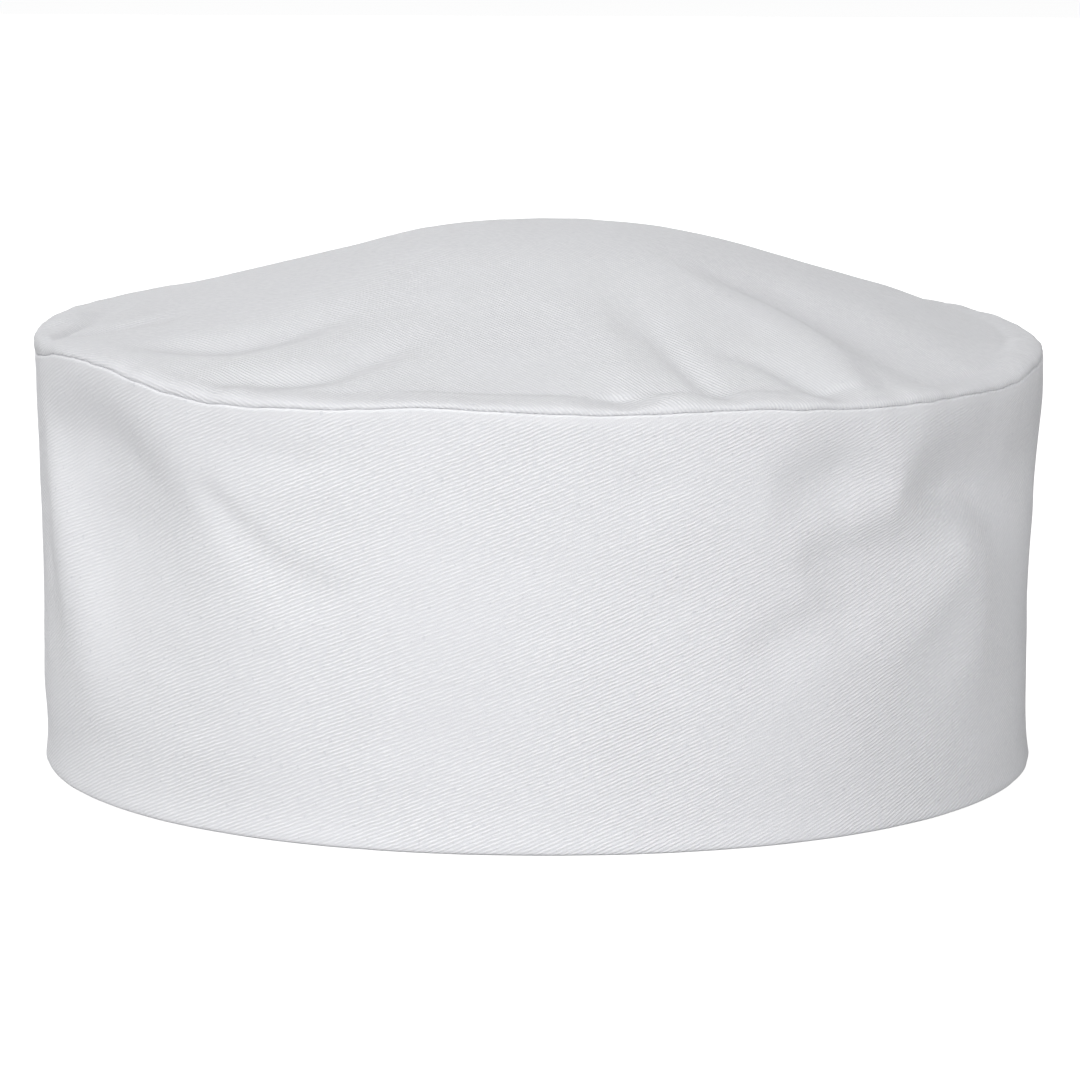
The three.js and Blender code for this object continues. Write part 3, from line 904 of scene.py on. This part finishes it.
def crown_rim(azimuth):
    """The points that the crown's rim passes through, from its shoulder to the raw edge inside the band."""
    seam = seam_height(azimuth)
    puff = curve_round("puff", azimuth)
    places = []
    for row in RIM_SECTION:
        inward = mix(RIM_REACH * row["flat_inward"], RIM_REACH * row["puffed_inward"], puff)
        up = mix(RIM_REACH * row["flat_up"], SEAM_GAP + RIM_PUFF * row["puffed_up"], puff)
        places.append((inward, up, row["fold"]))
    lip = places[-1][0]
    for across, up in LIP_SECTION:
        places.append((lip + LIP_RADIUS * across, SEAM_GAP + LIP_RADIUS * up, 0))
    clear = ROLL_RADIUS + SEAM_GAP
    for angle in LIP_TURN:
        across, up = pressed_turn(angle)
        places.append((ROLL_RADIUS + clear * across, clear * up - ROLL_RADIUS, 0))
    for drop in (ROLL_RADIUS, (ROLL_RADIUS + SEAM_ALLOWANCE) / 2, SEAM_ALLOWANCE):
        places.append((ROLL_RADIUS + clear + hanging_spread(drop), -drop, 0))
    points = []
    for inward, up, fold in places:
        point = band_point(azimuth, inward, seam + np.minimum(up, 0))
        point[..., 2] = seam + up
        points.append(np.concatenate([point, np.full_like(point[..., :1], fold)], axis=-1))
    return points


crown_azimuths = np.linspace(-180, 180, CROWN_COLUMNS, endpoint=False)
top_rows = np.linspace(0, RIM_FROM, CROWN_ROWS)[1:]
crown_tops = crown_top(crown_azimuths[:, None], top_rows)
shoulder = [crown_top(crown_azimuths, out) for out in SHOULDER]
rim_places = np.stack(shoulder + crown_rim(crown_azimuths), axis=1)
stations = (0, LIP_FROM, LIP_TO, rim_places.shape[1] - 1)
rim_rows = (RIM_ROWS, LIP_ROWS, HANGING_EDGE_ROWS)
rim_lines = np.array([smooth_line(points, stations, rim_rows)[1:] for points in rim_places])
crown_points, takes_folds = np.split(np.concatenate([crown_tops, rim_lines], axis=1), [3], axis=-1)
crown_points[..., 2] += takes_folds[..., 0] * crown_fold_height(crown_points[..., 0], crown_points[..., 1])
apex = np.array([APEX_OFFSET, 0, BAND_HEIGHT + CROWN_RISE])

# The weave's place on the flat round panel: as far from its centre as along the cloth, the same way out.
from_apex = np.array([lengths_along(np.vstack([apex, section]))[1:] for section in crown_points])
direction = np.stack(plan_point(crown_azimuths, 1, HALF_DEPTH / HALF_WIDTH), axis=-1)
crown_weave = from_apex[..., None] * direction[:, None]
crown_weave = np.concatenate([crown_weave, crown_weave[:1]])

crown_panel = cloth_mesh("crown_panel", crown_points, crown_weave, 0, apex)
crown_twill = twill("crown_twill", CROWN_RIB_ANGLE, CROWN_RIB_HEIGHT, CROWN_WHITE_PAINTED_DARKER, CROWN_VALLEY_PAINTED_SHADE)
crown_panel.data.materials.append(crown_twill)

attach(crown_panel, "root")
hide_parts("crown")

# Threads inside the cap. A row of lockstitches holds the crown to the band, and shows on the crown's
# turned-down edge. An overlock thread loops round all the raw edges below it, so that they don't fray.
STITCH_PITCH = 0.0029
STITCH_LENGTH = 0.0026
STITCH_THICKNESS = 0.00032
STITCH_DROP = 0.0022
LOOP_PITCH = 0.0024
LOOP_WIDTH = 0.0024
LOOP_HEIGHT = 0.0050
LOOP_THICKNESS = 0.00028
LOOP_TILT = 0.3
LOOP_INWARD = 0.0030
THREAD_WHITE = (0.86, 0.861, 0.878, 1)
THREAD_HOLLOW_PAINTED_SHADE = (0.66, 0.663, 0.69, 1)
THREAD_TWIST = 0.00025
THREAD_ROUGHNESS = 0.8
THREAD_BUMP = STITCH_THICKNESS / 4
STITCH_HEIGHT = STITCH_THICKNESS / 4
GUIDE_STEPS = 360
SMALLEST = 0.92
LARGEST = 1.08
BEAD_SIDES = 8
BEAD_RINGS = 5
LOOP_CORNERS = 12
LOOP_SIDES = 5
STITCH_SEED = 41
LOOP_SEED = 42

# The limits that a Random Value node takes, and the size that it gives, by their places among its sockets.
RANDOM_LEAST = 2
RANDOM_MOST = 3
RANDOM_SIZE = 1


def thread_material(name, crest, valley):
    """White cotton thread with a fine uneven twist, whose low places are painted darker as shade."""
    material = bpy.data.materials.new(name)
    material.use_nodes = True
    surface = material.node_tree.nodes["Principled BSDF"]
    place = Socket(material.node_tree.nodes.new("ShaderNodeTexCoord").outputs["Object"])
    twist = place.node("ShaderNodeTexNoise", {}, {"Vector": place, "Scale": 1 / THREAD_TWIST, "Detail": 1.0})
    # Painted shade: the colour darkens where the twist's bump is low.
    mixed = {0: twist, MIX_FIRST: valley, MIX_SECOND: crest}
    colour = place.node("ShaderNodeMix", {"data_type": "RGBA"}, mixed, MIX_COLOUR)
    bump = place.node("ShaderNodeBump", {}, {"Distance": THREAD_BUMP, "Height": twist})
    material.node_tree.links.new(colour.socket, surface.inputs["Base Color"])
    material.node_tree.links.new(bump.socket, surface.inputs["Normal"])
    surface.inputs["Roughness"].default_value = THREAD_ROUGHNESS
    return material


def row_tree(name, sizes):
    """A new tree of geometry nodes that takes a guide line, named sizes, a seed and a material. It gives its
    inputs as sockets by name, and the places along the line with the turn that each one has."""
    tree = bpy.data.node_groups.new(name, "GeometryNodeTree")
    kinds = {"Line": "NodeSocketGeometry", **{size: "NodeSocketFloat" for size in sizes}}
    kinds.update({"Seed": "NodeSocketInt", "Thread": "NodeSocketMaterial"})
    for label, kind in kinds.items():
        tree.interface.new_socket(label, in_out="INPUT", socket_type=kind)
    tree.interface.new_socket("Threads", in_out="OUTPUT", socket_type="NodeSocketGeometry")
    given = tree.nodes.new("NodeGroupInput")
    inputs = {label: Socket(given.outputs[label]) for label in kinds}
    line = inputs["Line"].node("GeometryNodeMeshToCurve", {}, {"Mesh": inputs["Line"]})
    spaced = {"Curve": line, "Length": inputs["Pitch"]}
    places = line.node("GeometryNodeCurveToPoints", {"mode": "LENGTH"}, spaced)
    tangent = Socket(places.socket.node.outputs["Tangent"])
    axes = {"primary_axis": "X", "secondary_axis": "Z"}
    directions = {"Primary Axis": tangent, "Secondary Axis": (0, 0, 1)}
    turn = places.node("FunctionNodeAxesToRotation", axes, directions)
    return tree, inputs, places, turn


def finish_row(tree, inputs, places, turn, shape):
    """Puts the shape at every place, each a little different in size, and ends the tree in a plain mesh."""
    limits = {RANDOM_LEAST: SMALLEST, RANDOM_MOST: LARGEST, "Seed": inputs["Seed"]}
    size = places.node("FunctionNodeRandomValue", {"data_type": "FLOAT"}, limits, RANDOM_SIZE)
    instances = {"Points": places, "Instance": shape, "Rotation": turn, "Scale": size}
    threads = places.node("GeometryNodeInstanceOnPoints", {}, instances)
    threads = threads.node("GeometryNodeRealizeInstances", {}, {"Geometry": threads})
    threads = threads.node("GeometryNodeSetShadeSmooth", {}, {"Geometry": threads})
    coloured = {"Geometry": threads, "Material": inputs["Thread"]}
    threads = threads.node("GeometryNodeSetMaterial", {}, coloured)
    ending = tree.nodes.new("NodeGroupOutput")
    tree.links.new(threads.socket, ending.inputs[0])


def threads_along(name, line, tree, values):
    """The tree's threads along a closed line of points, as a plain mesh that rides with the cap."""
    mesh = bpy.data.meshes.new(name)
    count = len(line)
    mesh.from_pydata(line.tolist(), [(i, (i + 1) % count) for i in range(count)], [])
    mesh.materials.append(values["Thread"])
    piece = bpy.data.objects.new(name, mesh)
    bpy.context.scene.collection.objects.link(piece)
    row = piece.modifiers.new("row", "NODES")
    row.node_group = tree
    for item in tree.interface.items_tree:
        if item.item_type == "SOCKET" and item.in_out == "INPUT" and item.name in values:
            row[item.identifier] = values[item.name]
    bpy.context.view_layer.update()
    threads = bpy.data.meshes.new_from_object(piece.evaluated_get(bpy.context.evaluated_depsgraph_get()))
    piece.modifiers.clear()
    piece.data = threads
    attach(piece, "root")


white_thread = thread_material("white_thread", THREAD_WHITE, THREAD_HOLLOW_PAINTED_SHADE)
guide = np.linspace(-180, 180, GUIDE_STEPS, endpoint=False)

# A lockstitch is a short stretched bead of thread that lies on the crown's wrong side, a little sunk in.
tree, inputs, places, turn = row_tree("row_of_stitches", ("Pitch", "Length", "Thickness"))
ball = {"Segments": BEAD_SIDES, "Rings": BEAD_RINGS, "Radius": 0.5}
bead = places.node("GeometryNodeMeshUVSphere", {}, ball)
thickness = inputs["Thickness"]
shape = places.node("ShaderNodeCombineXYZ", {}, {"X": inputs["Length"], "Y": thickness, "Z": thickness})
bead = bead.node("GeometryNodeTransform", {}, {"Geometry": bead, "Scale": shape})
finish_row(tree, inputs, places, turn, bead)
on_crown = 2 * ROLL_RADIUS + SEAM_GAP + hanging_spread(STITCH_DROP) + PLY + STITCH_HEIGHT
stitch_line = band_point(guide, on_crown, seam_height(guide) - STITCH_DROP)
stitch_values = {"Pitch": STITCH_PITCH, "Length": STITCH_LENGTH, "Thickness": STITCH_THICKNESS}
stitch_values.update({"Seed": STITCH_SEED, "Thread": white_thread})
threads_along("seam_stitches", stitch_line, tree, stitch_values)

# An overlock loop is an oval ring of thread round the raw edges, which leans along the seam.
tree, inputs, places, turn = row_tree("row_of_loops", ("Pitch", "Width", "Height", "Thickness", "Tilt"))
ring = places.node("GeometryNodeCurvePrimitiveCircle", {}, {"Resolution": LOOP_CORNERS, "Radius": 0.5})
shape = places.node("ShaderNodeCombineXYZ", {}, {"X": inputs["Height"], "Y": inputs["Width"], "Z": 1})
lean = places.node("ShaderNodeCombineXYZ", {}, {"X": 0, "Y": inputs["Tilt"] + math.pi / 2, "Z": 0})
ring = ring.node("GeometryNodeTransform", {}, {"Geometry": ring, "Rotation": lean, "Scale": shape})
sides = {"Resolution": LOOP_SIDES, "Radius": inputs["Thickness"] * 0.5}
section = places.node("GeometryNodeCurvePrimitiveCircle", {}, sides)
ring = ring.node("GeometryNodeCurveToMesh", {}, {"Curve": ring, "Profile Curve": section})
finish_row(tree, inputs, places, turn, ring)
loop_drop = SEAM_ALLOWANCE - LOOP_HEIGHT / 2 + 2 * LOOP_THICKNESS
loop_line = band_point(guide, LOOP_INWARD, seam_height(guide) - loop_drop)
loop_values = {"Pitch": LOOP_PITCH, "Width": LOOP_WIDTH, "Height": LOOP_HEIGHT, "Thickness": LOOP_THICKNESS}
loop_values.update({"Tilt": LOOP_TILT, "Seed": LOOP_SEED, "Thread": white_thread})
threads_along("edge_overlock", loop_line, tree, loop_values)

# Floor, lights and camera. A plain pale table, broad soft lights from the front, from above and from behind,
# and a camera that looks a little down on the front of the cap, as the photograph does. Each light has its
# azimuth and elevation in degrees and its power in watts.
FLOOR_SIZE = 12.0
FLOOR_GREY = (0.3, 0.3, 0.3, 1)
FLOOR_WHITE = (0.4, 0.4, 0.4, 1)
FLOOR_GLOW = 0.9
LIGHT_DISTANCE = 1.8
LIGHT_SIZE = 1.0
LIGHTS = {
    "left front": (-135, 12, 17.3),
    "front": (-90, 12, 8.5),
    "right front": (-45, 12, 15.3),
    "left above": (-170, 70, 14.5),
    "right above": (-10, 70, 3.0),
    "behind": (90, 12, 15.0),
}
WORLD_LIGHT = 0.05
WORLD_COLOUR = (0.955, 0.997, 1.047, 1)

floor_mesh = bpy.data.meshes.new("floor")
half = FLOOR_SIZE / 2
corners = [(-half, -half, 0), (half, -half, 0), (half, half, 0), (-half, half, 0)]
floor_mesh.from_pydata(corners, [], [(0, 1, 2, 3)])
floor = bpy.data.objects.new("floor", floor_mesh)
bpy.context.scene.collection.objects.link(floor)

# The table looks near white, and throws back less light on the cap than a white table close around it would.
floor_material = bpy.data.materials.new("pale_table")
floor_material.use_nodes = True
floor_material.node_tree.nodes.clear()
floor_output = floor_material.node_tree.nodes.new("ShaderNodeOutputMaterial")
seen = Socket(floor_output.inputs["Surface"]).node("ShaderNodeLightPath", {}, {}, "Is Camera Ray")
grey = seen.node("ShaderNodeBsdfDiffuse", {}, {"Color": FLOOR_GREY})
white = seen.node("ShaderNodeBsdfDiffuse", {}, {"Color": FLOOR_WHITE})
glow = seen.node("ShaderNodeEmission", {}, {"Strength": FLOOR_GLOW})
bright = seen.node("ShaderNodeAddShader", {}, {0: white, 1: glow})
surface = seen.node("ShaderNodeMixShader", {}, {0: seen, 1: grey, 2: bright})
floor_material.node_tree.links.new(surface.socket, floor_output.inputs["Surface"])
floor_mesh.materials.append(floor_material)

world = bpy.data.worlds.new("studio")
bpy.context.scene.world = world
world.use_nodes = True
world.node_tree.nodes["Background"].inputs["Color"].default_value = WORLD_COLOUR
world.node_tree.nodes["Background"].inputs["Strength"].default_value = WORLD_LIGHT

for name, (azimuth, elevation, power) in LIGHTS.items():
    light = bpy.data.lights.new(name, "AREA")
    light.shape = "SQUARE"
    light.size = LIGHT_SIZE
    light.energy = power
    lamp = bpy.data.objects.new(name, light)
    bpy.context.scene.collection.objects.link(lamp)
    azimuth = math.radians(azimuth)
    elevation = math.radians(elevation)
    level = math.cos(elevation)
    towards = Vector((level * math.cos(azimuth), level * math.sin(azimuth), math.sin(elevation)))
    lamp.location = towards * LIGHT_DISTANCE + Vector((0, 0, BAND_HEIGHT / 2))
    lamp.rotation_euler = towards.to_track_quat("Z", "Y").to_euler()
    lamp.visible_camera = False

# The camera turns about a point on the cap's middle line, EYE_HEIGHT over the hem. Its focal length and its
# picture's width are in pixels of the photograph.
EYE_DISTANCE = 0.98039
EYE_HEIGHT = 0.040842
EYE_OFFSET = 0.0003
EYE_ELEVATION = 10.34689
ROLL = 0.00327
FOCAL_LENGTH = 5031.75
PICTURE_WIDTH = 1080
SENSOR_WIDTH = 36.0

camera_data = bpy.data.cameras.new("camera")
camera_data.sensor_width = SENSOR_WIDTH
camera_data.lens = SENSOR_WIDTH * (FOCAL_LENGTH / PICTURE_WIDTH)
camera = bpy.data.objects.new("camera", camera_data)
bpy.context.scene.collection.objects.link(camera)
elevation = math.radians(EYE_ELEVATION)
eye_forward = EYE_DISTANCE * math.cos(elevation)
eye_up = EYE_HEIGHT + EYE_DISTANCE * math.sin(elevation)
camera.location = (EYE_OFFSET, -eye_forward, eye_up)
camera.rotation_mode = "QUATERNION"
back = Vector((0, -math.cos(elevation), math.sin(elevation)))
camera.rotation_quaternion = back.to_track_quat("Z", "Y") @ Quaternion((0, 0, 1), ROLL)
bpy.context.scene.camera = camera
bpy.context.scene.view_settings.view_transform = "Standard"
